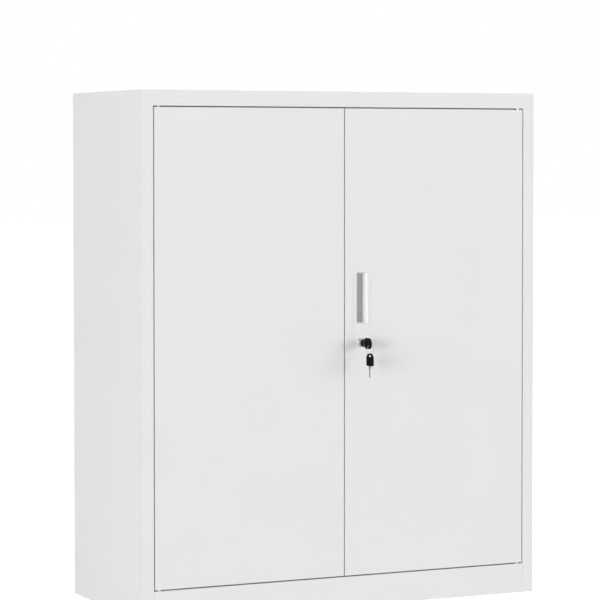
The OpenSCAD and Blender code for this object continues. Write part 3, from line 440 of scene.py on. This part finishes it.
def split_ring(material):
    """Key ring wound from thin wire in two coils, in the space of the round wire of the CAD ring.

    The box of the turned CAD ring gives its wire: it reaches the whole radius up, and less along Y.
    """
    low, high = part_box("key_ring")
    middle = (low + high) / 2
    along = Vector(joint("spare_key_swing")["axis"]).normalized()
    up = Vector((0.0, 0.0, 1.0))
    normal = along.cross(up)
    half = (high - low) / 2
    wire_r = (half.y - half.z * abs(along.y)) / (1 - abs(along.y))
    ring_r = half.z - wire_r
    coil_r = wire_r / 2
    whole_turn = 2 * math.pi
    points = []
    for i in range(COIL_POINTS):
        turn = COIL_STEP + 2 * (whole_turn - COIL_STEP) * i / (COIL_POINTS - 1)
        share = min(max((turn - whole_turn + COIL_STEP) / (2 * COIL_STEP), 0.0), 1.0)
        offset = (2 * share * share * (3 - 2 * share) - 1) * coil_r
        angle = COIL_START + turn
        points.append(middle + ring_r * (math.cos(angle) * along + math.sin(angle) * up) + offset * normal)
    ring = tube("split_ring", points, coil_r * COIL_FILL, COIL_SIDES)
    ring.data.materials.append(material)
    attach(ring, "ring")
    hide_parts("key_ring")


def round_edges(piece, width):
    """Merges flat faces, then rounds the edges between them."""
    flat = piece.modifiers.new("flat_faces", "DECIMATE")
    flat.decimate_type = "DISSOLVE"
    flat.angle_limit = FLAT
    bevel = piece.modifiers.new("round_edges", "BEVEL")
    bevel.width = width
    bevel.segments = ROUND_SEGMENTS
    bevel.limit_method = "ANGLE"
    bevel.angle_limit = SHARP
    bevel.harden_normals = True


def dress_frame(finishes):
    """Gives each CAD node the finish of its slot and rounds its edges."""
    for part in frame["record"]["subparts"]:
        piece = frame["nodes"][part["node"]]
        slot = part["material_slot"]
        piece.data.materials.clear()
        piece.data.materials.append(finishes[slot])
        round_edges(piece, ROUNDING.get(slot, SMALL_ROUND))


# Stage

def lit_world():
    """White behind the object, and a plain even light from all round."""
    world = bpy.data.worlds.new("studio")
    world.use_nodes = True
    tree = world.node_tree
    lit = tree.nodes["Background"]
    lit.inputs["Color"].default_value = (1.0, 1.0, 1.0, 1.0)
    lit.inputs["Strength"].default_value = AMBIENT
    white = tree.nodes.new("ShaderNodeBackground")
    white.inputs["Color"].default_value = (1.0, 1.0, 1.0, 1.0)
    white.inputs["Strength"].default_value = BACKGROUND
    choice = tree.nodes.new("ShaderNodeMixShader")
    tree.links.new(seen_directly(tree), choice.inputs["Fac"])
    tree.links.new(lit.outputs[0], choice.inputs[1])
    tree.links.new(white.outputs[0], choice.inputs[2])
    tree.links.new(choice.outputs[0], tree.nodes["World Output"].inputs["Surface"])
    bpy.context.scene.world = world


def softbox(name, place, size, power):
    """A rectangular lamp at place, aimed at the middle of the cabinet and hidden from the camera."""
    lamp = bpy.data.lights.new(name, "AREA")
    lamp.shape = "RECTANGLE"
    lamp.size, lamp.size_y = size
    lamp.energy = power
    made = bpy.data.objects.new(name, lamp)
    made.location = place
    made.rotation_euler = (LAMP_AIM - place).to_track_quat("-Z", "Y").to_euler()
    made.visible_camera = False
    bpy.context.scene.collection.objects.link(made)


def lamps():
    """The softboxes that stand round the cabinet, and one above it."""
    standing = {"left_softbox": LEFT_SOFTBOX, "right_softbox": RIGHT_SOFTBOX, "back_softbox": BACK_SOFTBOX}
    for name, box in standing.items():
        azimuth = math.radians(box["azimuth"])
        place = Vector((
            box["distance"] * math.sin(azimuth), -box["distance"] * math.cos(azimuth), box["height"]
        ))
        softbox(name, place, box["size"], box["power"])
    above = Vector((0.0, 0.0, TOP_SOFTBOX["height"]))
    softbox("top_softbox", above, TOP_SOFTBOX["size"], TOP_SOFTBOX["power"])


def floor():
    """A flat floor just under the cabinet."""
    mesh = bmesh.new()
    corners = [(-1, -1), (1, -1), (1, 1), (-1, 1)]
    height = cad_low.z - FLOOR_DROP
    mesh.faces.new([mesh.verts.new((x * FLOOR_HALF, y * FLOOR_HALF, height)) for x, y in corners])
    made = finished("floor", mesh)
    made.data.materials.append(floor_finish())


def camera():
    """The photograph's camera."""
    lens = bpy.data.cameras.new("photo_camera")
    lens.sensor_width = CAMERA_SENSOR
    lens.lens = CAMERA_LENS
    lens.shift_x = CAMERA_SHIFT_X
    lens.shift_y = CAMERA_SHIFT_Y
    made = bpy.data.objects.new("photo_camera", lens)
    made.location = Vector((0.0, door_front, cad_low.z)) + CAMERA_FROM_DOOR
    made.rotation_euler = (math.radians(90) - CAMERA_DIP, 0.0, -CAMERA_TURN)
    bpy.context.scene.collection.objects.link(made)
    bpy.context.scene.camera = made


FINISHES = {
    "powder_white": powder_white(),
    "bright_steel": bright_steel(),
    "zinc": zinc(),
    "chrome": chrome(),
    "key_steel": key_steel(),
    "nylon": nylon(),
    "handle_plastic": handle_plastic(),
    "black_plastic": black_plastic(),
    "plug_black": plug_black(),
    "rubber": rubber(),
    "magnet": magnet(),
}

camera()
bpy.context.scene.view_settings.view_transform = "Standard"
lit_world()
lamps()
floor()
dress_frame(FINISHES)
split_ring(FINISHES["key_steel"])
